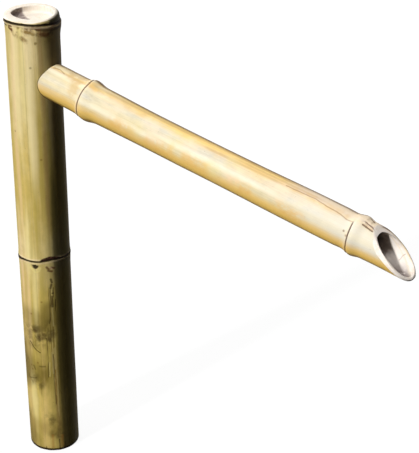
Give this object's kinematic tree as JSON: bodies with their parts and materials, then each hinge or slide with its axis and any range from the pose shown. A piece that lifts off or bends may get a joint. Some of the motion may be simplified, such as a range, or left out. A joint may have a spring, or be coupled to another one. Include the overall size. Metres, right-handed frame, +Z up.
{
  "type": "bamboo water spout",
  "caption": "Bamboo water spout: an upright hollow culm with a thinner culm pushed into its side, sloping gently down to an oblique mouth, with the water hose inside.",
  "frame": {"origin": "centre of the post's cut base, on the post's axis", "axes": "+Z up along the post, +X the way the spout points, +Y completes the right-handed frame"},
  "size_m": [0.6027, 0.0736, 0.655],
  "materials": {
    "post_bamboo": "cured bamboo skin, satin",
    "spout_bamboo": "pale cured bamboo skin, satin",
    "black_rubber": "matt",
    "black_plastic": "moulded, matt",
    "clear_vinyl": "clear, slightly milky",
    "spring_steel": "bright strip"
  },
  "bodies": {
    "post": {"post_culm": "post_bamboo", "riser_hose": "clear_vinyl", "spout_hose": "clear_vinyl", "hose_elbow": "black_plastic", "riser_clip": "spring_steel", "spout_clip": "spring_steel", "node_grommet": "black_rubber", "inlet_joiner": "black_plastic", "inlet_clip": "spring_steel"},
    "ring": {"socket_ring": "black_rubber"},
    "spout": {"spout_culm": "spout_bamboo"}
  },
  "joints": [
    {"name": "spout_pull", "type": "slide", "parent": "post", "child": "ring", "axis": [0.986, 0, -0.1668], "range_m": [0, 0.06]},
    {"name": "spout_twist", "type": "hinge", "parent": "ring", "child": "spout", "pos_m": [0, 0, 0.5744], "axis": [0.986, 0, -0.1668], "range_deg": [-15, 15]}
  ]
}
